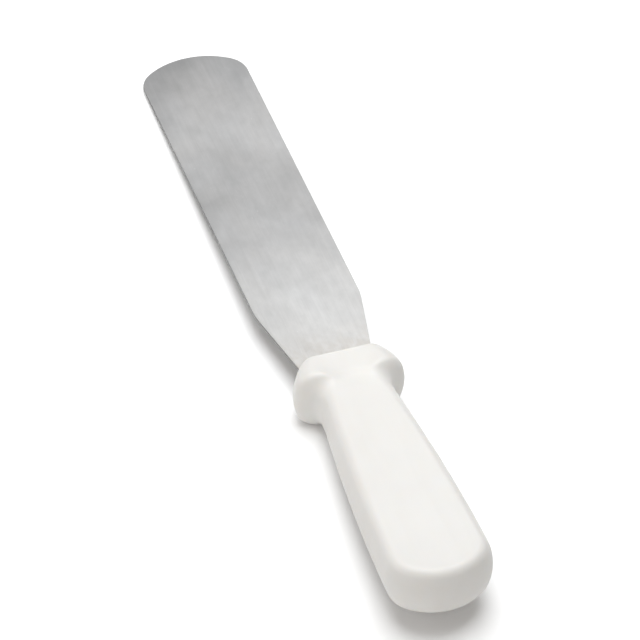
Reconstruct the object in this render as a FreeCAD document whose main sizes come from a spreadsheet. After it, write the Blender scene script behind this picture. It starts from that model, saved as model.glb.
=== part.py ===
import FreeCAD, Part
import math
import os
import Sketcher

# Straight baker's spatula: a round-tipped, parallel-sided flexible steel blade whose tang is
# moulded into a one-piece white plastic handle with a finger guard.
# While it is being built: +Y runs from the handle to the blade tip, +X is across the blade, +Z is
# square to the blade, and y = 0 is the level of the guard's front face. At the end both pieces are
# laid down the way the tool rests: on the blade tip and on the guard, z = 0 being the table.

doc = FreeCAD.newDocument("bakers_spatula")
V = FreeCAD.Vector

# ---------------------------------------------------------------- driving dimensions
sheet = doc.addObject("Spreadsheet::Sheet", "dims")
rows = [
    # the blade
    ("blade_width", 38.1),
    ("blade_thick", 0.95),
    ("blade_reach", 173.6),      # guard front face to the apex of the tip
    ("tip_radius", 26.0),
    ("tip_corner", 9.8),
    ("taper_start", 36.0),       # where the parallel edges start to draw in towards the guard
    ("taper_blend", 30.0),
    ("root_width", 24.0),        # width of the blade where it enters the guard
    ("edge_break", 0.2),
    # the hidden tang
    ("tang_width", 17.0),
    ("tang_end_width", 12.0),
    ("tang_reach", 84.0),        # how far the tang runs back from the guard's front face
    ("tang_shoulder", 7.0),      # where the root steps down to the tang
    ("tang_corner", 3.0),
    ("lock_hole", 7.0),
    ("lock_first", 24.0),
    ("lock_pitch", 22.0),
    # the grip
    ("grip_thick", 19.0),
    ("guard_front", 0.4),        # the guard's front face stands this far in front of y = 0
    ("guard_lip", 1.2),          # rounding of the front face's rim
    ("ring_pitch", 1.4),         # spacing of the guard and neck sections
    ("grip_front_half", 13.35),  # half width where the grip takes over from the neck
    ("grip_mid", 60.0),
    ("grip_mid_half", 16.95),
    ("grip_back", 100.6),
    ("grip_back_half", 18.65),
    ("butt_reach", 115.5),
    ("butt_radius", 22.0),
    ("grip_edge", 3.8),
    ("wall_bow", 20.0),          # radius the side walls are bowed to; widths are at mid height
]
# the guard and neck: evenly spaced rounded-rectangle sections; half width, half height and
# corner radius of each, from the front face back to the start of the grip, and how deep the
# hollow between the guard's two lobes is there (0: the faces are flat). The last section is a
# hair inside the grip's own front section.
sections = [
    ("ring_01", 15.35, 10.50, 5.00, 0.00),
    ("ring_02", 16.45, 10.62, 5.60, 0.16),
    ("ring_03", 17.40, 10.76, 6.10, 0.34),
    ("ring_04", 18.20, 10.92, 6.60, 0.54),
    ("ring_05", 18.85, 11.08, 7.00, 0.76),
    ("ring_06", 19.30, 11.26, 7.30, 1.00),
    ("ring_07", 19.60, 11.44, 7.60, 1.25),
    ("ring_08", 19.60, 11.58, 7.80, 1.45),
    ("ring_09", 18.50, 11.35, 7.90, 1.45),
    ("ring_10", 16.25, 10.50, 7.80, 1.00),
    ("ring_11", 14.45, 9.90, 7.00, 0.55),
    ("ring_12", 13.60, 9.62, 6.40, 0.25),
    ("ring_13", 13.32, 9.53, 5.80, 0.10),
    ("ring_14", 13.27, 9.50, 5.20, 0.00),
    ("ring_15", 13.28, 9.50, 4.70, 0.00),
    ("ring_16", 13.30, 9.49, 4.20, 0.00),
    ("ring_17", 13.30, 9.45, 3.75, 0.00),
]
cell = 1
for name, value in rows:
    sheet.set("A%d" % cell, name)
    sheet.set("B%d" % cell, "%.4f" % value)
    sheet.setAlias("B%d" % cell, name)
    cell += 1
for name, hw, hh, rad, dip in sections:
    for tail, value in (("_halfw", hw), ("_halfh", hh), ("_round", rad), ("_hollow", dip)):
        sheet.set("A%d" % cell, name + tail)
        sheet.set("B%d" % cell, "%.4f" % value)
        sheet.setAlias("B%d" % cell, name + tail)
        cell += 1
REST_ROW = cell
for name in ("rest_tilt", "rest_back", "rest_lift"):
    sheet.set("A%d" % cell, name)
    sheet.set("B%d" % cell, "0")
    sheet.setAlias("B%d" % cell, name)
    cell += 1
doc.recompute()


def dim(name):
    return float(getattr(sheet, name))


def origin_plane(body, role):
    for feature in body.Origin.OriginFeatures:
        if feature.Role == role:
            return feature
    raise RuntimeError("no plane " + role)


def new_sketch(body, name, role, offset=None):
    sketch = body.newObject("Sketcher::SketchObject", name)
    sketch.AttachmentSupport = [(origin_plane(body, role), "")]
    sketch.MapMode = "FlatFace"
    if offset is not None:
        sketch.AttachmentOffset = offset
    return sketch


def bind(sketch, kind, args, expression, start):
    """add a dimensional constraint and drive it from the sheet"""
    index = sketch.addConstraint(Sketcher.Constraint(kind, *args, start))
    sketch.setExpression("Constraints[%d]" % index, expression)
    return index


def line(sketch, a, b):
    return sketch.addGeometry(Part.LineSegment(V(a[0], a[1], 0), V(b[0], b[1], 0)), False)


def arc3(sketch, a, m, b):
    """arc through three points, always stored counter-clockwise as the sketcher numbers its ends"""
    if (m[0] - a[0]) * (b[1] - a[1]) - (m[1] - a[1]) * (b[0] - a[0]) < 0:
        a, b = b, a
    return sketch.addGeometry(Part.Arc(V(a[0], a[1], 0), V(m[0], m[1], 0), V(b[0], b[1], 0)), False)


def settled(sketch):
    """stop when a sketch has clashing, repeated or missing constraints"""
    code = sketch.solve()
    worst = list(sketch.RedundantConstraints) + list(sketch.ConflictingConstraints)
    if code or worst or sketch.DoF:
        for n in worst:
            print(sketch.Name, n, sketch.Constraints[n - 1])
        raise RuntimeError("%s: solve %s, free %s" % (sketch.Name, code, sketch.DoF))


# ---------------------------------------------------------------- blade
blade = doc.addObject("PartDesign::Body", "blade_body")
blade.Label = "blade"
outline = new_sketch(blade, "blade_outline", "XY_Plane")

W = dim("blade_width") / 2
L = dim("blade_reach")
RT = dim("tip_radius")
RC = dim("tip_corner")
# centre of the tip arc and of the two corner arcs that join it to the straight edges
cy = L - RT
cx_c = W - RC
cy_c = cy + math.sqrt((RT - RC) ** 2 - cx_c ** 2)
ux, uy = cx_c / (RT - RC), (cy_c - cy) / (RT - RC)
jx, jy = RT * ux, cy + RT * uy
mid_a = math.atan2(uy, ux) / 2
TS = dim("taper_start")
RW = dim("root_width") / 2
TW = dim("tang_width") / 2
TE = dim("tang_end_width") / 2
SH = -dim("tang_shoulder")
TR = -dim("tang_reach")

g = {}
# right-hand side, from the tang's end forward to the tip
g["end"] = line(outline, (-TE, TR), (TE, TR))
g["tang_r"] = line(outline, (TE, TR), (TW, SH))
g["step_r"] = line(outline, (TW, SH), (RW, SH))
g["root_r"] = line(outline, (RW, SH), (RW, 0.0))
g["taper_r"] = line(outline, (RW, 0.0), (W, TS))
g["side_r"] = line(outline, (W, TS), (W, cy_c))
cm = (cx_c + RC * math.cos(mid_a), cy_c + RC * math.sin(mid_a))
g["corner_r"] = arc3(outline, (W, cy_c), cm, (jx, jy))
g["tip"] = arc3(outline, (jx, jy), (0.0, L), (-jx, jy))
g["corner_l"] = arc3(outline, (-jx, jy), (-cm[0], cm[1]), (-W, cy_c))
g["side_l"] = line(outline, (-W, cy_c), (-W, TS))
g["taper_l"] = line(outline, (-W, TS), (-RW, 0.0))
g["root_l"] = line(outline, (-RW, 0.0), (-RW, SH))
g["step_l"] = line(outline, (-RW, SH), (-TW, SH))
g["tang_l"] = line(outline, (-TW, SH), (-TE, TR))
C = Sketcher.Constraint
chain = ["end", "tang_r", "step_r", "root_r", "taper_r", "side_r"]
for a, b in zip(chain, chain[1:]):
    outline.addConstraint(C("Coincident", g[a], 2, g[b], 1))
back_chain = ["side_l", "taper_l", "root_l", "step_l", "tang_l"]
for a, b in zip(back_chain, back_chain[1:]):
    outline.addConstraint(C("Coincident", g[a], 2, g[b], 1))
outline.addConstraint(C("Coincident", g["tang_l"], 2, g["end"], 1))


def arc_ends(sketch, index):
    """start and end points of an arc"""
    geometry = sketch.Geometry[index]
    return geometry.StartPoint, geometry.EndPoint


def end_near(sketch, index, x, y):
    """which vertex of the arc lies at x, y"""
    first, last = arc_ends(sketch, index)
    d1 = math.hypot(first.x - x, first.y - y)
    d2 = math.hypot(last.x - x, last.y - y)
    return 1 if d1 < d2 else 2


cr_side = end_near(outline, g["corner_r"], W, cy_c)
cr_tip = 3 - cr_side
cl_side = end_near(outline, g["corner_l"], -W, cy_c)
cl_tip = 3 - cl_side
tp_r = end_near(outline, g["tip"], jx, jy)
tp_l = 3 - tp_r
outline.addConstraint(C("Tangent", g["side_r"], 2, g["corner_r"], cr_side))
outline.addConstraint(C("Tangent", g["corner_r"], cr_tip, g["tip"], tp_r))
outline.addConstraint(C("Tangent", g["tip"], tp_l, g["corner_l"], cl_tip))
outline.addConstraint(C("Tangent", g["corner_l"], cl_side, g["side_l"], 1))
# left and right halves mirror each other about the Y axis (-2 is the sketch's vertical axis)
for right, rp, left, lp in (
    ("end", 2, "end", 1),
    ("tang_r", 2, "tang_l", 1),
    ("step_r", 2, "step_l", 1),
    ("root_r", 2, "root_l", 1),
    ("taper_r", 2, "taper_l", 1),
    ("corner_r", cr_side, "corner_l", cl_side),
):
    outline.addConstraint(C("Symmetric", g[right], rp, g[left], lp, -2))
outline.addConstraint(C("PointOnObject", g["tip"], 3, -2))
outline.addConstraint(C("Horizontal", g["step_r"]))
outline.addConstraint(C("Vertical", g["root_r"]))
outline.addConstraint(C("Vertical", g["side_r"]))
bind(outline, "DistanceX", (g["side_l"], 1, g["side_r"], 2), "dims.blade_width", 2 * W)
bind(outline, "DistanceX", (g["root_l"], 1, g["root_r"], 2), "dims.root_width", 2 * RW)
bind(outline, "DistanceX", (g["tang_l"], 1, g["tang_r"], 2), "dims.tang_width", 2 * TW)
bind(outline, "DistanceX", (g["end"], 1, g["end"], 2), "dims.tang_end_width", 2 * TE)
bind(outline, "Radius", (g["tip"],), "dims.tip_radius", RT)
bind(outline, "Radius", (g["corner_r"],), "dims.tip_corner", RC)
bind(outline, "DistanceY", (-1, 1, g["tip"], 3), "dims.blade_reach - dims.tip_radius", cy)
bind(outline, "DistanceY", (-1, 1, g["side_r"], 1), "dims.taper_start", TS)
bind(outline, "DistanceY", (g["step_r"], 1, -1, 1), "dims.tang_shoulder", -SH)
bind(outline, "DistanceY", (g["end"], 1, -1, 1), "dims.tang_reach", -TR)
outline.addConstraint(C("PointOnObject", g["root_r"], 2, -1))
doc.recompute()

settled(outline)
strip = blade.newObject("PartDesign::Pad", "blade_strip")
strip.Profile = outline
strip.SideType = "Symmetric"
strip.setExpression("Length", "dims.blade_thick")
doc.recompute()


def edges_where(feature, test):
    shape = feature.Shape
    names = []
    for i, edge in enumerate(shape.Edges):
        if test(edge):
            names.append("Edge%d" % (i + 1))
    return names


def ends(edge):
    a, b = edge.Vertexes[0].Point, edge.Vertexes[-1].Point
    return a, b


def vertical_at(x, y, tol=0.05):
    def test(edge):
        a, b = ends(edge)
        return (abs(abs(a.x) - x) < tol and abs(a.y - y) < tol and abs(abs(b.x) - x) < tol
                and abs(b.y - y) < tol and abs(a.z - b.z) > 0.1)
    return test


# the taper runs into the parallel edges in a soft curve; the tang has rounded corners
soft = blade.newObject("PartDesign::Fillet", "taper_blend_curve")
soft.Base = (strip, edges_where(strip, vertical_at(W, TS)))
soft.setExpression("Radius", "dims.taper_blend")
blade.Tip = soft
doc.recompute()
tang_round = blade.newObject("PartDesign::Fillet", "tang_corners")
tang_round.Base = (soft, edges_where(soft, vertical_at(TE, TR)) + edges_where(soft, vertical_at(TW, SH)))
tang_round.setExpression("Radius", "dims.tang_corner")
blade.Tip = tang_round
doc.recompute()

# three holes in the tang, which the moulded handle flows through
lock = new_sketch(blade, "lock_hole_centres", "XY_Plane")
for k in range(3):
    y = -(dim("lock_first") + k * dim("lock_pitch"))
    c = lock.addGeometry(Part.Circle(V(0, y, 0), V(0, 0, 1), dim("lock_hole") / 2), False)
    lock.addConstraint(C("PointOnObject", c, 3, -2))
    bind(lock, "Diameter", (c,), "dims.lock_hole", dim("lock_hole"))
    bind(lock, "DistanceY", (c, 3, -1, 1), "dims.lock_first + %d * dims.lock_pitch" % k, -y)
doc.recompute()
settled(lock)
before = tang_round.Shape.Volume
holes = blade.newObject("PartDesign::Pocket", "lock_holes")
holes.Profile = lock
holes.SideType = "Symmetric"
holes.Type = "ThroughAll"
doc.recompute()
cut = before - holes.Shape.Volume
want = 3 * math.pi * (dim("lock_hole") / 2) ** 2 * dim("blade_thick")
if abs(cut - want) > 0.01 * want:
    raise RuntimeError("the tang holes did not cut: %.3f of %.3f mm3" % (cut, want))


# the stamped outline is broken along both faces, from the guard round the tip and back
def rim(edge):
    a, b = ends(edge)
    flat = abs(abs(a.z) - dim("blade_thick") / 2) < 1e-3 and abs(a.z - b.z) < 1e-6
    return flat and min(a.y, b.y) > -0.01 and max(a.y, b.y) > 0.5


broken = blade.newObject("PartDesign::Chamfer", "blade_edges")
broken.Base = (holes, edges_where(holes, rim))
broken.setExpression("Size", "dims.edge_break")
blade.Tip = broken
doc.recompute()

# ---------------------------------------------------------------- handle
moulding = doc.addObject("PartDesign::Body", "handle_body")
moulding.Label = "handle_solid"


def rounded_section(name, step):
    """a rounded rectangle with bowed side walls, square to the handle and so many steps behind the
    guard's front face; where it is hollowed, the corners run on over the lobes into one shallow
    arc above and one below"""
    hw, hh, rad, dip = (dim(name + tail) for tail in ("_halfw", "_halfh", "_round", "_hollow"))
    sk = new_sketch(moulding, name, "XZ_Plane")
    # the XZ plane looks along +Y, so a positive offset along its normal is a step back (-Y)
    sk.setExpression("AttachmentOffset.Base.z", "%d * dims.ring_pitch - dims.guard_front" % step)
    bow, cy = dim("wall_bow"), hh - rad
    # the bowed wall's centre is on the section's level axis; the corner touches it from inside
    wx = hw - bow
    cx = wx + math.sqrt((bow - rad) ** 2 - cy ** 2)
    lean = math.asin(cy / (bow - rad))
    turn = 2 * math.atan(dip / cx)
    tx, ty = cx - rad * math.sin(turn), cy + rad * math.cos(turn)
    mid = (math.pi / 2 + turn + lean) / 2
    mx, my = cx + rad * math.cos(mid), cy + rad * math.sin(mid)
    sx, sy = cx + rad * math.cos(lean), cy + rad * math.sin(lean)
    a1 = arc3(sk, (tx, ty), (mx, my), (sx, sy))
    right = arc3(sk, (sx, sy), (hw, 0), (sx, -sy))
    a2 = arc3(sk, (sx, -sy), (mx, -my), (tx, -ty))
    a3 = arc3(sk, (-tx, -ty), (-mx, -my), (-sx, -sy))
    left = arc3(sk, (-sx, -sy), (-hw, 0), (-sx, sy))
    a4 = arc3(sk, (-sx, sy), (-mx, my), (-tx, ty))
    if dip > 0:
        top = arc3(sk, (-tx, ty), (0, hh - dip), (tx, ty))
        bottom = arc3(sk, (tx, -ty), (0, -(hh - dip)), (-tx, -ty))
    else:
        top = line(sk, (-tx, ty), (tx, ty))
        bottom = line(sk, (tx, -ty), (-tx, -ty))
    ring = [top, a1, right, a2, bottom, a3, left, a4]
    spot = [(tx, ty), (sx, sy), (sx, -sy), (tx, -ty), (-tx, -ty), (-sx, -sy), (-sx, sy), (-tx, ty)]
    for i, (x, y) in enumerate(spot):
        a, b = ring[i], ring[(i + 1) % 8]
        ia = end_near(sk, a, x, y)
        ib = end_near(sk, b, x, y)
        sk.addConstraint(C("Tangent", a, ia, b, ib))
    if dip > 0:
        sk.addConstraint(C("Horizontal", a1, 3, a4, 3))
        sk.addConstraint(C("Horizontal", a2, 3, a3, 3))
    else:
        sk.addConstraint(C("Horizontal", top))
        sk.addConstraint(C("Horizontal", bottom))
    for arc in (right, left):
        sk.addConstraint(C("PointOnObject", arc, 3, -1))
        bind(sk, "Radius", (arc,), "dims.wall_bow", bow)
    sk.addConstraint(C("Equal", a1, a2))
    sk.addConstraint(C("Equal", a1, a3))
    sk.addConstraint(C("Equal", a1, a4))
    sk.addConstraint(C("Symmetric", a1, 3, a3, 3, -1, 1))
    bind(sk, "Radius", (a1,), "dims.%s_round" % name, rad)
    bind(sk, "DistanceX", (right, 3, -1, 1), "dims.wall_bow - dims.%s_halfw" % name, -wx)
    bind(sk, "DistanceY", (-1, 1, a1, 3), "dims.%s_halfh - dims.%s_round" % (name, name), cy)
    if dip > 0:
        flat = ("(dims.%s_halfw - dims.wall_bow + sqrt((dims.wall_bow - dims.%s_round) ^ 2"
                " - (dims.%s_halfh - dims.%s_round) ^ 2))" % (name, name, name, name))
        rule = "%s / sin(2 * atan(dims.%s_hollow / %s)) - dims.%s_round" % (flat, name, flat, name)
        for arc in (top, bottom):
            bind(sk, "Radius", (arc,), rule, cx / math.sin(turn) - rad)
    return sk


# the grip: the same plan outline at seven heights, each drawn in as far as the bowed walls are
# there, lofted through; then squared off in front and its long edges and butt rounded over
LAST = len(sections) - 1
GF = dim("guard_front") - LAST * dim("ring_pitch")
GM, GB = -dim("grip_mid"), -dim("grip_back")
BR, BU = -dim("butt_reach"), dim("butt_radius")
AHEAD = 1.0                                  # the outline starts this far ahead and is cut back
BOW = dim("wall_bow")


def circle_through(a, b, c):
    """centre and radius of the circle through three points"""
    k = 2 * (a[0] * (b[1] - c[1]) + b[0] * (c[1] - a[1]) + c[0] * (a[1] - b[1]))
    sa, sb, sc = (pt[0] ** 2 + pt[1] ** 2 for pt in (a, b, c))
    x = (sa * (b[1] - c[1]) + sb * (c[1] - a[1]) + sc * (a[1] - b[1])) / k
    y = (sa * (c[0] - b[0]) + sb * (a[0] - c[0]) + sc * (b[0] - a[0])) / k
    return x, y, math.hypot(a[0] - x, a[1] - y)


def grip_outline(level):
    """plan outline of the grip at level / 6 of its thickness above the middle"""
    up = level * dim("grip_thick") / 6
    inset = BOW - math.sqrt(BOW ** 2 - up ** 2)
    drawn_in = "(dims.wall_bow - sqrt(dims.wall_bow ^ 2 - (%d * dims.grip_thick / 6) ^ 2))" % level
    plan = new_sketch(moulding, "grip_plan_%d" % (level + 4), "XY_Plane")
    plan.setExpression("AttachmentOffset.Base.z", "%d * dims.grip_thick / 6" % level)
    gf, gm, gb = (dim(n) - inset for n in ("grip_front_half", "grip_mid_half", "grip_back_half"))
    bu = BU - inset
    bcy = BR + BU
    hx, hy, hr = circle_through((gf, GF), (gm, GM), (gb, GB))
    # the corner arc leaves the side arc and runs into the butt arc without a kink
    ex, ey = (gb - hx) / hr, (GB - hy) / hr
    dy = GB - bcy
    q = (bu * bu - gb * gb - dy * dy) / (2 * (bu - gb * ex - dy * ey))
    ccx, ccy = gb - q * ex, GB - q * ey
    ang = math.atan2(ccy - bcy, ccx)
    bjx, bjy = bu * math.cos(ang), bcy + bu * math.sin(ang)
    nf = GF + AHEAD
    nx = hx + math.sqrt(hr ** 2 - (nf - hy) ** 2)
    front = line(plan, (-nx, nf), (nx, nf))
    side_r = arc3(plan, (nx, nf), (gm, GM), (gb, GB))
    am = (ang + math.atan2(ey, ex)) / 2
    cmx, cmy = ccx + q * math.cos(am), ccy + q * math.sin(am)
    cor_r = arc3(plan, (gb, GB), (cmx, cmy), (bjx, bjy))
    butt = arc3(plan, (bjx, bjy), (0, bcy - bu), (-bjx, bjy))
    cor_l = arc3(plan, (-bjx, bjy), (-cmx, cmy), (-gb, GB))
    side_l = arc3(plan, (-gb, GB), (-gm, GM), (-nx, nf))

    def join(kind, a, b, x, y):
        plan.addConstraint(C(kind, a, end_near(plan, a, x, y), b, end_near(plan, b, x, y)))

    join("Coincident", front, side_r, nx, nf)
    join("Coincident", front, side_l, -nx, nf)
    join("Tangent", side_r, cor_r, gb, GB)
    join("Tangent", side_l, cor_l, -gb, GB)
    join("Tangent", cor_r, butt, bjx, bjy)
    join("Tangent", butt, cor_l, -bjx, bjy)
    e_r = end_near(plan, side_r, gb, GB)
    plan.addConstraint(C("Symmetric", front, 2, front, 1, -2))
    plan.addConstraint(C("Symmetric", side_r, e_r, side_l, end_near(plan, side_l, -gb, GB), -2))
    plan.addConstraint(C("Equal", side_r, side_l))
    plan.addConstraint(C("Equal", cor_r, cor_l))
    bind(plan, "DistanceY", (front, 1, -1, 1),
         "%d * dims.ring_pitch - dims.guard_front - %.1f" % (LAST, AHEAD), -nf)
    bind(plan, "DistanceY", (side_r, e_r, -1, 1), "dims.grip_back", -GB)
    bind(plan, "DistanceX", (-1, 1, side_r, e_r), "dims.grip_back_half - " + drawn_in, gb)
    # the side arc passes through the half widths at the front and in the middle
    for x, y, back, half in (
        (gf, GF, "%d * dims.ring_pitch - dims.guard_front" % LAST, "dims.grip_front_half"),
        (gm, GM, "dims.grip_mid", "dims.grip_mid_half"),
    ):
        mark = plan.addGeometry(Part.Point(V(x, y, 0)), True)
        plan.addConstraint(C("PointOnObject", mark, 1, side_r))
        bind(plan, "DistanceY", (mark, 1, -1, 1), back, -y)
        bind(plan, "DistanceX", (-1, 1, mark, 1), half + " - " + drawn_in, x)
    bind(plan, "Radius", (butt,), "dims.butt_radius - " + drawn_in, bu)
    bind(plan, "DistanceY", (butt, 3, -1, 1), "dims.butt_reach - dims.butt_radius", -bcy)
    return plan


plans = [grip_outline(level) for level in range(-3, 4)]
doc.recompute()
for plan in plans:
    settled(plan)
block = moulding.newObject("PartDesign::AdditiveLoft", "grip_block")
block.Profile = plans[0]
block.Sections = plans[1:]
block.Ruled = False
block.Closed = False
moulding.Tip = block
doc.recompute()

# squared off where the neck ends
square = new_sketch(moulding, "grip_front_line", "XZ_Plane")
square.setExpression("AttachmentOffset.Base.z", "%d * dims.ring_pitch - dims.guard_front" % LAST)
s = [line(square, a, b) for a, b in (((-20, -12), (20, -12)), ((20, -12), (20, 12)), ((20, 12), (-20, 12)),
                                     ((-20, 12), (-20, -12)))]
for k in range(4):
    square.addConstraint(C("Coincident", s[k], 2, s[(k + 1) % 4], 1))
square.addConstraint(C("Horizontal", s[0]))
square.addConstraint(C("Horizontal", s[2]))
square.addConstraint(C("Vertical", s[1]))
square.addConstraint(C("Vertical", s[3]))
square.addConstraint(C("Symmetric", s[0], 1, s[1], 2, -1, 1))
bind(square, "DistanceX", (s[0], 1, s[0], 2), "2 * dims.grip_back_half + 4", 2 * dim("grip_back_half") + 4)
bind(square, "DistanceY", (s[1], 1, s[1], 2), "dims.grip_thick + 6", dim("grip_thick") + 6)
doc.recompute()
settled(square)
grip = moulding.newObject("PartDesign::Pocket", "grip_front_cut")
grip.Profile = square
grip.Length = 5.0
moulding.Tip = grip
doc.recompute()
if grip.Shape.optimalBoundingBox(False, False).YMax > GF + 0.01:
    grip.Reversed = True
    doc.recompute()
box = grip.Shape.optimalBoundingBox(False, False)
if abs(box.YMax - GF) > 0.01 or abs(box.YMin - BR) > 0.01:
    raise RuntimeError("grip runs %.3f..%.3f" % (box.YMin, box.YMax))


def grip_rim(edge):
    a, b = ends(edge)
    half = dim("grip_thick") / 2
    on_face = abs(abs(a.z) - half) < 1e-3 and abs(a.z - b.z) < 1e-6
    if not on_face:
        return False
    middle = edge.valueAt((edge.FirstParameter + edge.LastParameter) / 2)
    return middle.y < GF - 0.5 and abs(abs(middle.z) - half) < 1e-3


rounded = moulding.newObject("PartDesign::Fillet", "grip_edges")
rounded.Base = (grip, edges_where(grip, grip_rim))
rounded.setExpression("Radius", "dims.grip_edge")
moulding.Tip = rounded
doc.recompute()

# the guard and neck, lofted from the front face back to the start of the grip
rings = [rounded_section(row[0], step) for step, row in enumerate(sections)]
doc.recompute()
for ring in rings:
    settled(ring)
guard = moulding.newObject("PartDesign::AdditiveLoft", "guard_and_neck")
guard.Profile = rings[0]
guard.Sections = rings[1:]
guard.Ruled = False
guard.Closed = False
moulding.Tip = guard
doc.recompute()


def front_rim(edge):
    a, b = ends(edge)
    level = dim("guard_front")
    return abs(a.y - level) < 1e-3 and abs(b.y - level) < 1e-3


lip = moulding.newObject("PartDesign::Fillet", "guard_lip_round")
lip.Base = (guard, edges_where(guard, front_rim))
lip.setExpression("Radius", "dims.guard_lip")
moulding.Tip = lip
doc.recompute()

# the handle is moulded round the tang: what is left after taking the steel out
handle = doc.addObject("Part::Cut", "handle_cut")
handle.Label = "handle"
handle.Base = moulding
handle.Tool = blade
doc.recompute()


# ---------------------------------------------------------------- lay the tool down on its table
def lowest(shape, tilt):
    """height of the lowest point once the shape is turned tip-down by tilt degrees"""
    turned = shape.copy()
    turned.rotate(V(0, 0, 0), V(1, 0, 0), -tilt)
    return turned.optimalBoundingBox(False, False).ZMin


low, high = 0.0, 8.0
for _ in range(24):
    tilt = (low + high) / 2
    if lowest(blade.Shape, tilt) > lowest(moulding.Shape, tilt):
        low = tilt
    else:
        high = tilt
both = Part.makeCompound([blade.Shape, moulding.Shape])
both.rotate(V(0, 0, 0), V(1, 0, 0), -tilt)
box = both.optimalBoundingBox(False, False)
sheet.set("B%d" % REST_ROW, "%.5f" % tilt)
sheet.set("B%d" % (REST_ROW + 1), "%.5f" % (-(box.YMin + box.YMax) / 2))
sheet.set("B%d" % (REST_ROW + 2), "%.5f" % (-box.ZMin))
doc.recompute()

for piece in (blade, moulding):
    piece.setExpression("Placement.Rotation.Axis.x", "1")
    piece.setExpression("Placement.Rotation.Axis.y", "0")
    piece.setExpression("Placement.Rotation.Axis.z", "0")
    piece.setExpression("Placement.Rotation.Angle", "-dims.rest_tilt")
    piece.setExpression("Placement.Base.y", "dims.rest_back")
    piece.setExpression("Placement.Base.z", "dims.rest_lift")
doc.recompute()

# ---------------------------------------------------------------- check everything, then write
for thing in doc.Objects:
    if "Invalid" in thing.State or "Error" in thing.State:
        raise RuntimeError("%s is %s" % (thing.Name, thing.State))
for piece in (blade, handle):
    shape = piece.Shape
    if shape.isNull() or not shape.isValid() or len(shape.Solids) != 1:
        raise RuntimeError("%s: bad shape, %d solids" % (piece.Label, len(shape.Solids)))
    box = shape.optimalBoundingBox(False, False)
    print("%s: %.2f cm3, %.3f..%.3f, %.3f..%.3f, %.3f..%.3f mm" % (
        piece.Label, shape.Volume / 1000, box.XMin, box.XMax, box.YMin, box.YMax, box.ZMin, box.ZMax))
print("resting tilt %.5f deg, back %.5f, lift %.5f" % (tilt, dim("rest_back"), dim("rest_lift")))

os.makedirs("parts", exist_ok=True)
for piece in (blade, handle):
    piece.Shape.exportStep("parts/%s.step" % piece.Label)
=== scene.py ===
import math

import bpy
import numpy as np
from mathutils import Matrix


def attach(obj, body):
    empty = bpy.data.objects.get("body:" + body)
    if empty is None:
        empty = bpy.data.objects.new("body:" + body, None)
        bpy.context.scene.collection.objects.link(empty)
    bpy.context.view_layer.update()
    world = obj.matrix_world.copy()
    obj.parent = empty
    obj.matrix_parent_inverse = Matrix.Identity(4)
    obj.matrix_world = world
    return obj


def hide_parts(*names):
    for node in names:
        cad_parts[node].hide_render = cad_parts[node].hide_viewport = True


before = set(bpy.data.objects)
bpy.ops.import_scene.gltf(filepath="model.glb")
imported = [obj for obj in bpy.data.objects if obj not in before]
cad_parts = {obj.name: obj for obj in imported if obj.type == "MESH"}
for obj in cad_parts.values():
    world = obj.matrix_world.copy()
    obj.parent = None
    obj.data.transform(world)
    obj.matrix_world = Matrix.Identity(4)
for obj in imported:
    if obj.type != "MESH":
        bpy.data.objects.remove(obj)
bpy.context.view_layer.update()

# ------------------------------------------------------------------ where the tool lies
# The pieces are drawn in their own millimetres (y = 0 at the guard's face, +Y to the tip, z = 0 in
# the blade's mid plane) and then laid on the table: turned tip-down about X and shifted.
TILT = math.radians(3.47791)
BACK = -28.98642
LIFT = 10.99321


def lay(p):
    p = np.asarray(p, float)
    c, s = math.cos(TILT), math.sin(TILT)
    out = np.empty_like(p)
    out[..., 0] = p[..., 0]
    out[..., 1] = p[..., 1] * c + p[..., 2] * s + BACK
    out[..., 2] = -p[..., 1] * s + p[..., 2] * c + LIFT
    return out * 0.001


def lay_dir(v):
    c, s = math.cos(TILT), math.sin(TILT)
    return (v[0], v[1] * c + v[2] * s, -v[1] * s + v[2] * c)


def mesh_object(name, verts, faces, smooth=True):
    mesh = bpy.data.meshes.new(name)
    mesh.from_pydata([tuple(v) for v in verts], [], faces)
    mesh.validate()
    mesh.update()
    if smooth:
        mesh.polygons.foreach_set("use_smooth", [True] * len(mesh.polygons))
    obj = bpy.data.objects.new(name, mesh)
    bpy.context.scene.collection.objects.link(obj)
    return obj


def grid_faces(rows, cols, base=0, flip=False, closed=False):
    """quads over a rows x cols grid of vertices stored row by row"""
    out = []
    for i in range(rows - 1):
        for j in range(cols if closed else cols - 1):
            k = (j + 1) % cols
            a, b = base + i * cols + j, base + i * cols + k
            c, d = base + (i + 1) * cols + k, base + (i + 1) * cols + j
            out.append((a, d, c, b) if flip else (a, b, c, d))
    return out


# ------------------------------------------------------------------ blade
BW, BT, BL = 38.1, 0.95, 173.6
RT, RC, TS, RW = 26.0, 9.8, 36.0, 12.0
BLEND = 30.0
EDGE = 0.17


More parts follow.
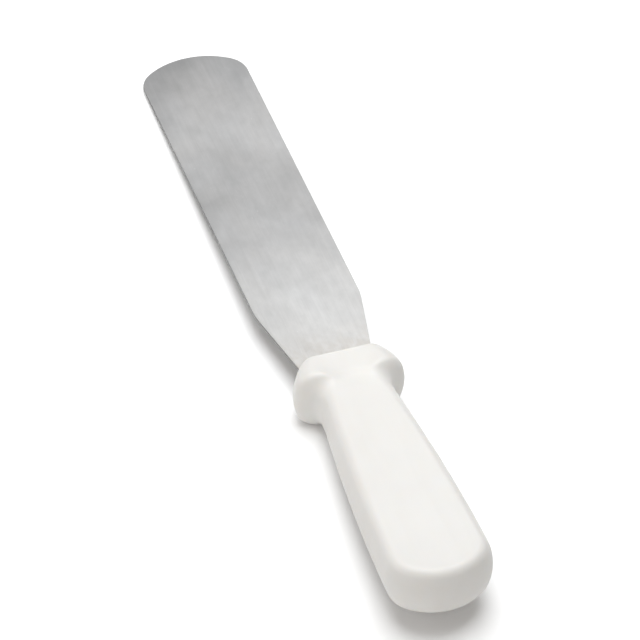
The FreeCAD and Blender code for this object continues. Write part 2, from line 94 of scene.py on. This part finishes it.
def blade_right_side():
    """right-hand outline from the root forward to the apex, with outward normals"""
    h = BW / 2
    cy = BL - RT
    fx = h - RC
    fy = cy + math.sqrt((RT - RC) ** 2 - fx ** 2)
    top = math.atan2(fx, fy - cy)          # angle from +Y where the corner meets the tip arc
    pts, nrm = [], []
    # taper: straight from (RW, 0) to (h, TS), blended into the side with a large arc
    slope = math.atan2(h - RW, TS)
    cut = BLEND * math.tan(slope / 2)
    ta = np.array([h - cut * math.sin(slope), TS - cut * math.cos(slope)])
    root_n = np.array([math.cos(slope), -math.sin(slope)])
    pts.append([RW, -3.0]); nrm.append([1, 0])
    for t in np.linspace(0, 1, 24):
        pts.append([RW + (ta[0] - RW) * t, ta[1] * t]); nrm.append(root_n)
    for t in np.linspace(0, 1, 10)[1:]:
        a = -slope * (1 - t)
        c = np.array([h - BLEND, TS + cut])
        pts.append(c + BLEND * np.array([math.cos(a), math.sin(a)])); nrm.append([math.cos(a), math.sin(a)])
    for y in np.linspace(TS + cut, fy, 90)[1:]:
        pts.append([h, y]); nrm.append([1, 0])
    for a in np.linspace(0, math.pi / 2 - top, 18)[1:]:
        pts.append([fx + RC * math.cos(a), fy + RC * math.sin(a)]); nrm.append([math.cos(a), math.sin(a)])
    for a in np.linspace(top, 0, 34)[1:]:
        pts.append([RT * math.sin(a), cy + RT * math.cos(a)]); nrm.append([math.sin(a), math.cos(a)])
    return np.array(pts, float), np.array(nrm, float)


def build_blade():
    P, N = blade_right_side()
    m = len(P)
    K = 4                                   # steps of the rolled edge
    spread = np.concatenate([[-1, -0.985], np.linspace(-0.94, 0.94, 15), [0.985, 1]])
    verts, faces = [], []
    prof = []                               # (inset, z) from the middle of the edge up to the face
    for k in range(K + 1):
        a = k / K * math.pi / 2
        prof.append((EDGE * (1 - math.cos(a)), BT / 2 - EDGE + EDGE * math.sin(a)))
    ring = []
    for inset, z in prof[::-1]:
        ring.append((inset, z))
    for inset, z in prof:
        ring.append((inset, -z))
    # ring runs from the top face over the edge to the bottom face
    rows = []
    for i in range(m):
        right, left = [], []
        for inset, z in ring:
            q = P[i] - inset * N[i]
            x = max(q[0], 0.0)
            right.append((x, q[1], z))
            left.append((-x, q[1], z))
        top_in = right[0]
        bot_in = right[-1]
        row = []
        # top face from left to right, over the right edge, bottom face right to left, up the left edge
        for t in spread:
            row.append((top_in[0] * t, top_in[1], BT / 2))
        row += right[1:-1]
        for t in spread[::-1]:
            row.append((bot_in[0] * t, bot_in[1], -BT / 2))
        row += left[1:-1][::-1]
        rows.append(row)
    cols = len(rows[0])
    for row in rows:
        verts += row
    faces = grid_faces(m, cols, closed=True)
    # root end cap, hidden in the guard
    faces.append(tuple(range(cols)))
    v = np.array(verts)
    obj = mesh_object("blade_steel", lay(v), faces)
    # the two faces are dead flat: only the rolled edge is shaded round
    n_top = len(spread)
    first_low = n_top + len(right) - 2
    for i in range(m - 1):
        for j in list(range(n_top - 1)) + list(range(first_low, first_low + n_top - 1)):
            obj.data.polygons[i * cols + j].use_smooth = False
    return obj


# ------------------------------------------------------------------ handle
# half width, half height, edge radius and saddle depth of the guard and neck sections
RINGS = np.array([
    (15.35, 10.50, 5.00, 0.00),
    (16.45, 10.62, 5.60, 0.16),
    (17.40, 10.76, 6.10, 0.34),
    (18.20, 10.92, 6.60, 0.54),
    (18.85, 11.08, 7.00, 0.76),
    (19.30, 11.26, 7.30, 1.00),
    (19.60, 11.44, 7.60, 1.25),
    (19.60, 11.58, 7.80, 1.45),
    (18.50, 11.35, 7.90, 1.45),
    (16.25, 10.50, 7.80, 1.00),
    (14.45, 9.90, 7.00, 0.55),
    (13.60, 9.62, 6.40, 0.25),
    (13.32, 9.53, 5.80, 0.10),
    (13.27, 9.50, 5.20, 0.00),
    (13.28, 9.50, 4.70, 0.00),
    (13.32, 9.50, 4.25, 0.00),
    (13.35, 9.50, 3.80, 0.00),
])
G0, PITCH = 0.4, 1.4
LIP = 1.2
GRIP_H, GRIP_R = 9.5, 3.8
BOW = 20.0                              # radius the side walls are bowed to
SIDE = ((13.35, -22.0), (16.95, -60.0), (18.65, -100.6))
BUTT, BUTT_R = -115.5, 22.0


def spline(xs, ys):
    """natural cubic spline through evenly or unevenly spaced points"""
    n = len(xs)
    h = np.diff(xs)
    A = np.zeros((n, n)); r = np.zeros((n,) + ys.shape[1:])
    A[0, 0] = A[-1, -1] = 1
    for i in range(1, n - 1):
        A[i, i - 1], A[i, i], A[i, i + 1] = h[i - 1], 2 * (h[i - 1] + h[i]), h[i]
        r[i] = 6 * ((ys[i + 1] - ys[i]) / h[i] - (ys[i] - ys[i - 1]) / h[i - 1])
    M = np.linalg.solve(A, r)

    def f(x):
        i = int(np.clip(np.searchsorted(xs, x) - 1, 0, n - 2))
        a, b = xs[i + 1] - x, x - xs[i]
        return (M[i] * a ** 3 + M[i + 1] * b ** 3) / (6 * h[i]) + (ys[i] / h[i] - M[i] * h[i] / 6) * a + (ys[i + 1] / h[i] - M[i + 1] * h[i] / 6) * b
    return f


def circle3(a, b, c):
    (ax, ay), (bx, by), (cx, cy) = a, b, c
    d = 2 * (ax * (by - cy) + bx * (cy - ay) + cx * (ay - by))
    ux = ((ax * ax + ay * ay) * (by - cy) + (bx * bx + by * by) * (cy - ay) + (cx * cx + cy * cy) * (ay - by)) / d
    uy = ((ax * ax + ay * ay) * (cx - bx) + (bx * bx + by * by) * (ax - cx) + (cx * cx + cy * cy) * (bx - ax)) / d
    return np.array([ux, uy]), math.hypot(ax - ux, ay - uy)


def handle_rows():
    """stations from the guard's face to the butt: (x, y, nx, ny, half height, edge radius, saddle)"""
    ring = spline(np.arange(len(RINGS)) * PITCH, RINGS)
    out = []
    # rounded lip of the front face
    for t in np.linspace(0, math.pi / 2, 7):
        d = LIP * (1 - math.sin(t))        # inset of the whole section
        back = LIP * (1 - math.cos(t))     # how far behind the face
        w, h, r, dip = ring(back)
        out.append((w - d, G0 - back, 1, 0, h - d, max(r - d, 0.4), 0.0))
    for s in np.linspace(LIP, (len(RINGS) - 1) * PITCH, 90)[1:]:
        w, h, r, dip = ring(s)
        out.append((w, G0 - s, 1, 0, h, r, max(dip, 0.0)))
    c, R = circle3(*SIDE)
    a0 = math.atan2(SIDE[0][1] - c[1], SIDE[0][0] - c[0])
    a1 = math.atan2(SIDE[2][1] - c[1], SIDE[2][0] - c[0])
    for k, a in enumerate(np.linspace(a0, a1, 70)[1:]):
        n = np.array([math.cos(a), math.sin(a)])
        p = c + R * n
        f = min(1.0, (k + 1) / 8)
        nn = n * f + np.array([1.0, 0.0]) * (1 - f)
        nn /= np.linalg.norm(nn)
        out.append((p[0], p[1], nn[0], nn[1], GRIP_H, GRIP_R, 0.0))
    # corner and butt arcs
    gbh, gb = SIDE[2]
    bcy = BUTT + BUTT_R
    ex, ey = math.cos(a1), math.sin(a1)
    dy = gb - bcy
    q = (BUTT_R ** 2 - gbh ** 2 - dy ** 2) / (2 * (BUTT_R - gbh * ex - dy * ey))
    ccx, ccy = gbh - q * ex, gb - q * ey
    ang = math.atan2(ccy - bcy, ccx)
    steps = np.linspace(a1, ang, 26)[1:]
    for k, a in enumerate(steps):
        n = np.array([math.cos(a), math.sin(a)])
        out.append((ccx + q * n[0], ccy + q * n[1], n[0], n[1], GRIP_H, GRIP_R, 0.0))
    for a in np.linspace(ang, -math.pi / 2, 30)[1:]:
        n = np.array([math.cos(a), math.sin(a)])
        out.append((BUTT_R * n[0], bcy + BUTT_R * n[1], n[0], n[1], GRIP_H, GRIP_R, 0.0))
    return np.array(out)


def build_handle():
    S = handle_rows()
    NA, NW, NF = 33, 11, 14                   # points across a face, down a wall, round an edge
    rows = []
    for x, y, nx, ny, h, r, dip in S:
        # each wall is bowed about its mid height, and the rounded edge touches it from inside
        cy = h - r
        lean = math.asin(cy / (BOW - r))
        deep = BOW - (BOW - r) * math.cos(lean)     # from the wall's crown in to the edge's centre
        # the saddle: the rounded edges run on past the crown into one shallow hollow arc
        flat = x - deep
        turn = 2 * math.atan(dip / flat) if dip > 1e-4 else 0.0
        right = []
        for k in range(NF + 1):             # from the top face down to the wall
            a = (math.pi / 2 + turn) + (lean - math.pi / 2 - turn) * k / NF
            d = deep - r * math.cos(a)
            right.append((x - d * nx, y - d * ny, cy + r * math.sin(a)))
        wall = []
        for a in np.linspace(lean, -lean, NW)[1:-1]:
            d = BOW * (1 - math.cos(a))
            wall.append((x - d * nx, y - d * ny, BOW * math.sin(a)))
        lower = [(px, py, -pz) for px, py, pz in right[::-1]]
        side = right + wall + lower
        side = [(max(px, 0.0), py, pz) for px, py, pz in side]
        row = []
        tx, ty, tz = side[0]
        if turn > 0:
            big = flat / math.sin(turn) - r
            hub = h - r + (r + big) * math.cos(turn)
            crown = [hub - math.sqrt(big * big - (tx * t) ** 2) for t in np.linspace(-1, 1, NA)]
        else:
            crown = [tz] * NA
        for t, z in zip(np.linspace(-1, 1, NA), crown):
            row.append((tx * t, ty, z))
        row += side[1:-1]
        for t, z in zip(np.linspace(1, -1, NA), crown[::-1]):
            row.append((side[-1][0] * t, side[-1][1], -z))
        row += [(-px, py, pz) for px, py, pz in side[1:-1][::-1]]
        rows.append(row)
    cols = len(rows[0])
    verts = [p for row in rows for p in row]
    faces = grid_faces(len(rows), cols, closed=True, flip=True)
    # front face: concentric rings down to a small middle patch
    base = 0
    prev = list(range(cols))
    first = np.array(rows[0])
    centre = np.array([0.0, G0, 0.0])
    for k in range(1, 7):
        f = 1 - k / 7
        start = len(verts)
        for p in first:
            verts.append(tuple(centre + (p - centre) * np.array([f, 1, f])))
        cur = list(range(start, start + cols))
        for j in range(cols):
            j2 = (j + 1) % cols
            faces.append((prev[j], prev[j2], cur[j2], cur[j]))
        prev = cur
    faces.append(tuple(prev))
    obj = mesh_object("handle_moulding", lay(np.array(verts)), faces)
    return obj


blade = build_blade()
handle = build_handle()

for obj, node, slot in ((blade, "blade", "blade_steel"), (handle, "handle", "handle_plastic")):
    bm_fix = obj.data
    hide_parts(node)
    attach(obj, "root")


# ------------------------------------------------------------------ materials
def new_material(name):
    mat = bpy.data.materials.new(name)
    mat.use_nodes = True
    tree = mat.node_tree
    tree.nodes.clear()
    out = tree.nodes.new("ShaderNodeOutputMaterial")
    bsdf = tree.nodes.new("ShaderNodeBsdfPrincipled")
    tree.links.new(bsdf.outputs["BSDF"], out.inputs["Surface"])
    return mat, tree, bsdf


def node(tree, kind, **inputs):
    n = tree.nodes.new(kind)
    for key, value in inputs.items():
        if key.startswith("_"):
            setattr(n, key[1:], value)
        else:
            n.inputs[key.replace("__", " ")].default_value = value
    return n


def ramp(tree, fac, stops, interpolation="LINEAR"):
    n = tree.nodes.new("ShaderNodeValToRGB")
    n.color_ramp.interpolation = interpolation
    e = n.color_ramp.elements
    while len(e) < len(stops):
        e.new(0.5)
    for i, (pos, col) in enumerate(stops):
        e[i].position = pos
        e[i].color = (*col, 1.0) if hasattr(col, "__len__") else (col, col, col, 1.0)
    tree.links.new(fac, n.inputs["Fac"])
    return n


def maths(tree, op, a, b=None, clamp=False):
    n = tree.nodes.new("ShaderNodeMath")
    n.operation = op
    n.use_clamp = clamp
    for i, v in enumerate((a, b)):
        if v is None:
            continue
        if hasattr(v, "links"):
            tree.links.new(v, n.inputs[i])
        else:
            n.inputs[i].default_value = v
    return n.outputs[0]


def own_frame(tree):
    """coordinates in metres in the tool's own frame: +Y along it, z = 0 in the blade"""
    co = tree.nodes.new("ShaderNodeTexCoord")
    shift = tree.nodes.new("ShaderNodeVectorMath")
    shift.operation = "SUBTRACT"
    shift.inputs[1].default_value = (0.0, BACK * 0.001, LIFT * 0.001)
    tree.links.new(co.outputs["Object"], shift.inputs[0])
    turn = tree.nodes.new("ShaderNodeMapping")
    turn.inputs["Rotation"].default_value = (TILT, 0.0, 0.0)
    tree.links.new(shift.outputs[0], turn.inputs["Vector"])
    return turn.outputs[0]


def noise(tree, vector, scale, detail=3.0, rough=0.55, stretch=None, distortion=0.0):
    """noise at so many features per metre, drawn out along an axis if asked"""
    if stretch is not None:
        mp = tree.nodes.new("ShaderNodeMapping")
        mp.inputs["Scale"].default_value = stretch
        tree.links.new(vector, mp.inputs["Vector"])
        vector = mp.outputs["Vector"]
    n = node(tree, "ShaderNodeTexNoise", Scale=scale, Detail=detail, Roughness=rough, Distortion=distortion)
    tree.links.new(vector, n.inputs["Vector"])
    return n.outputs["Fac"]


def multiply(tree, first, second, amount=1.0):
    mix = tree.nodes.new("ShaderNodeMix")
    mix.data_type = "RGBA"
    mix.blend_type = "MULTIPLY"
    if hasattr(amount, "links"):
        tree.links.new(amount, mix.inputs["Factor"])
    else:
        mix.inputs["Factor"].default_value = amount
    for value, socket in ((first, mix.inputs[6]), (second, mix.inputs[7])):
        if hasattr(value, "links"):
            tree.links.new(value, socket)
        else:
            socket.default_value = (*value, 1.0)
    return mix.outputs[2]


def steel():
    mat, tree, bsdf = new_material("satin_ground_stainless")
    L = tree.links.new
    flat = own_frame(tree)
    sep = tree.nodes.new("ShaderNodeSeparateXYZ")
    L(flat, sep.inputs["Vector"])
    # the grind: hair lines running lengthwise, in a fine and a broad set
    hair = noise(tree, flat, 1.0, 3.0, 0.6, (3200.0, 45.0, 1.0))
    broad = noise(tree, flat, 1.0, 3.0, 0.5, (520.0, 9.0, 1.0))
    # rubbed clouds, and smaller smears lying over them
    cloud = noise(tree, flat, 1.0, 4.0, 0.55, (55.0, 48.0, 1.0), 0.35)
    smear = noise(tree, flat, 1.0, 5.0, 0.6, (260.0, 150.0, 1.0), 0.3)
    # painted reflection: the steel is coloured darker towards the tip, in place of the reflection dimming along the
    # blade
    along = maths(tree, "MULTIPLY", sep.outputs["Y"], 1.0 / 0.1736)
    painted_reflection_tone = ramp(tree, along, [(0.0, (0.684, 0.676, 0.660)), (0.1, (0.658, 0.655, 0.646)),
                              (0.24, (0.636, 0.636, 0.632)), (0.42, (0.535, 0.535, 0.535)),
                              (0.57, (0.492, 0.492, 0.492)), (0.74, (0.570, 0.570, 0.570)),
                              (0.88, (0.502, 0.502, 0.503)), (1.0, (0.398, 0.399, 0.401))]).outputs["Color"]
    # painted reflection: the blade's left side is coloured darker and its right side a little lighter
    across = maths(tree, "MULTIPLY_ADD", sep.outputs["X"], 1.0 / 0.038)
    across.node.inputs[2].default_value = 0.5
    painted_reflection_tone = multiply(tree, painted_reflection_tone, ramp(tree, across, [(0.0, 0.935), (0.5, 1.0), (1.0, 1.02)]).outputs["Color"])
    col = multiply(tree, painted_reflection_tone, ramp(tree, broad, [(0.3, 0.972), (0.7, 1.028)]).outputs["Color"])
    col = multiply(tree, col, ramp(tree, hair, [(0.25, 0.968), (0.75, 1.032)]).outputs["Color"])
    col = multiply(tree, col, ramp(tree, cloud, [(0.34, 0.938), (0.66, 1.045)]).outputs["Color"])
    col = multiply(tree, col, ramp(tree, smear, [(0.3, 0.955), (0.7, 1.04)]).outputs["Color"])
    # faint cool and warm drift of the reflection
    drift = noise(tree, flat, 1.0, 2.0, 0.5, (48.0, 36.0, 1.0), 0.4)
    col = multiply(tree, col, ramp(tree, drift, [(0.36, (1.0, 0.997, 0.995)), (0.64, (0.992, 0.997, 1.004))]).outputs["Color"])
    # a few pale specks and short rubs
    speck = noise(tree, flat, 1.0, 2.0, 0.5, (560.0, 360.0, 1.0))
    col = multiply(tree, col, ramp(tree, speck, [(0.70, 1.0), (0.79, 1.13)]).outputs["Color"])
    # warm, mottled staining where the blade goes into the guard
    near = node(tree, "ShaderNodeMapRange")
    near.inputs["From Min"].default_value = 0.024
    near.inputs["From Max"].default_value = 0.001
    L(sep.outputs["Y"], near.inputs["Value"])
    mottle = noise(tree, flat, 1.0, 4.0, 0.6, (260.0, 210.0, 1.0), 0.7)
    stain = maths(tree, "MULTIPLY", near.outputs[0], ramp(tree, mottle, [(0.38, 0.2), (0.58, 1.0)]).outputs["Color"])
    col = multiply(tree, col, (0.885, 0.845, 0.80), stain)
    # painted reflection: the sheared sides are coloured dark in place of the shaded floor they reflect
    depth = maths(tree, "ABSOLUTE", sep.outputs["Z"])
    painted_dark_side = maths(tree, "LESS_THAN", depth, 0.00036)
    col = multiply(tree, col, (0.34, 0.335, 0.33), painted_dark_side)
    L(col, bsdf.inputs["Base Color"])
    bsdf.inputs["Metallic"].default_value = 1.0
    L(ramp(tree, cloud, [(0.25, 0.44), (0.75, 0.34)]).outputs["Color"], bsdf.inputs["Roughness"])
    bsdf.inputs["Anisotropic"].default_value = 0.5
    tan = tree.nodes.new("ShaderNodeCombineXYZ")
    d = lay_dir((1, 0, 0))                  # the grind scatters light across itself
    tan.inputs[0].default_value, tan.inputs[1].default_value, tan.inputs[2].default_value = d
    L(tan.outputs[0], bsdf.inputs["Tangent"])
    # the sheet is never quite flat, and the grind stands up a few microns
    wave = noise(tree, flat, 1.0, 2.0, 0.5, (38.0, 20.0, 1.0))
    lift = node(tree, "ShaderNodeBump", Strength=0.5, Distance=0.0006)
    L(wave, lift.inputs["Height"])
    bump = node(tree, "ShaderNodeBump", Strength=0.3, Distance=0.00003)
    L(hair, bump.inputs["Height"])
    L(lift.outputs["Normal"], bump.inputs["Normal"])
    L(bump.outputs["Normal"], bsdf.inputs["Normal"])
    return mat


def plastic():
    mat, tree, bsdf = new_material("white_polypropylene")
    L = tree.links.new
    flat = own_frame(tree)
    # the white drifts a little: fine mould bloom and faint flow marks along the handle
    bloom = noise(tree, flat, 38.0, 3.0, 0.5)
    flow = noise(tree, flat, 1.0, 3.0, 0.5, (150.0, 22.0, 150.0), 0.6)
    col = ramp(tree, bloom, [(0.3, (0.652, 0.641, 0.618)), (0.7, (0.673, 0.664, 0.643))]).outputs["Color"]
    col = multiply(tree, col, ramp(tree, flow, [(0.3, (0.988, 0.985, 0.980)), (0.7, (1.006, 1.006, 1.006))]).outputs["Color"])
    L(col, bsdf.inputs["Base Color"])
    skin = noise(tree, flat, 300.0, 4.0, 0.6)
    L(ramp(tree, skin, [(0.3, 0.42), (0.7, 0.52)]).outputs["Color"], bsdf.inputs["Roughness"])
    bsdf.inputs["Subsurface Weight"].default_value = 0.25
    bsdf.inputs["Subsurface Radius"].default_value = (1.0, 0.72, 0.5)
    bsdf.inputs["Subsurface Scale"].default_value = 0.0016
    bsdf.inputs["IOR"].default_value = 1.49
    bump = node(tree, "ShaderNodeBump", Strength=0.16, Distance=0.00015)
    L(skin, bump.inputs["Height"])
    L(bump.outputs["Normal"], bsdf.inputs["Normal"])
    return mat


blade.data.materials.clear(); blade.data.materials.append(steel())
handle.data.materials.clear(); handle.data.materials.append(plastic())

# ------------------------------------------------------------------ table, light, camera
floor_mat, floor_tree, floor_bsdf = new_material("table_white")
floor_bsdf.inputs["Base Color"].default_value = (0.96, 0.96, 0.96, 1)
floor_bsdf.inputs["Roughness"].default_value = 0.9
floor_bsdf.inputs["Specular IOR Level"].default_value = 0.1
n = 9
gx = np.linspace(-3, 3, n)
fv = [(x, y, -0.00003) for y in gx for x in gx]
floor = mesh_object("table_top", fv, grid_faces(n, n), smooth=False)
floor.data.materials.append(floor_mat)

scene = bpy.context.scene
world = bpy.data.worlds.new("studio")
scene.world = world
world.use_nodes = True
wt = world.node_tree
wt.nodes.clear()
wo = wt.nodes.new("ShaderNodeOutputWorld")
bg = wt.nodes.new("ShaderNodeBackground")
wt.links.new(bg.outputs[0], wo.inputs[0])
# the room: pale on the left and on the camera's side, dim and a little warmer on the right
wco = wt.nodes.new("ShaderNodeTexCoord")


def towards(direction):
    n = wt.nodes.new("ShaderNodeVectorMath")
    n.operation = "DOT_PRODUCT"
    n.inputs[1].default_value = direction
    wt.links.new(wco.outputs["Generated"], n.inputs[0])
    return n.outputs["Value"]


level = maths(wt, "ADD", towards((-0.42, -0.41, 0.0)), 0.345)
dim_side = maths(wt, "MULTIPLY", maths(wt, "MAXIMUM", towards((1.0, 0.0, 0.0)), 0.0), 0.30)
level = maths(wt, "MAXIMUM", maths(wt, "SUBTRACT", level, dim_side), 0.04)
wt.links.new(level, bg.inputs["Strength"])
tint = ramp(wt, maths(wt, "MULTIPLY_ADD", towards((-0.5, 0.0, 0.0)), 1.0), [(0.2, (1.0, 0.935, 0.865)), (0.75, (1.0, 0.973, 0.950))])
tint.inputs["Fac"].links[0].from_node.inputs[2].default_value = 0.5
wt.links.new(tint.outputs["Color"], bg.inputs["Color"])


def softbox(name, place, target, size_x, size_y, power, colour=(1, 1, 1)):
    data = bpy.data.lights.new(name, "AREA")
    data.shape = "RECTANGLE"
    data.size, data.size_y = size_x, size_y
    data.energy = power
    data.color = colour
    obj = bpy.data.objects.new(name, data)
    scene.collection.objects.link(obj)
    from mathutils import Vector
    obj.location = place
    obj.rotation_euler = (Vector(target) - Vector(place)).to_track_quat("-Z", "Y").to_euler()
    return obj


def lit_from(name, direction, distance, size_x, size_y, share, target=(0.0, 0.0, 0.0), colour=(1, 1, 1)):
    """a softbox whose light on the table would show as this share of a white card"""
    d = np.array(direction, float)
    d /= np.linalg.norm(d)
    power = share * math.pi ** 2 * distance ** 2 / d[2]
    return softbox(name, tuple(np.array(target) + d * distance), target, size_x, size_y, power, colour)


lit_from("key", (0.085, 0.05, 1.0), 0.72, 0.62, 0.62, 1.17, target=(0.0, 0.06, 0.0), colour=(0.972, 0.987, 1.0))
lit_from("back_panel", (0.233, 0.743, 0.625), 1.1, 1.1, 0.7, 0.13)

cam_data = bpy.data.cameras.new("camera")
cam_data.sensor_width = 36.0
cam_data.lens = 462.04786
cam_data.clip_start, cam_data.clip_end = 0.05, 50.0
cam = bpy.data.objects.new("camera", cam_data)
scene.collection.objects.link(cam)
from mathutils import Matrix
right = (0.9490403755121632, -0.31468492171272117, 0.01719783981756492)
up = (0.2119780275303402, 0.6777697853712875, 0.704054993506974)
back = (-0.23321166671519328, -0.6645310512567623, 0.7099371806177672)
where = (-0.6522042923513541, -1.8647191570118289, 1.9997256754735797)
cam.matrix_world = Matrix((
    (right[0], up[0], back[0], where[0]),
    (right[1], up[1], back[1], where[1]),
    (right[2], up[2], back[2], where[2]),
    (0, 0, 0, 1),
))
scene.camera = cam
scene.view_settings.view_transform = "Standard"
scene.view_settings.look = "None"
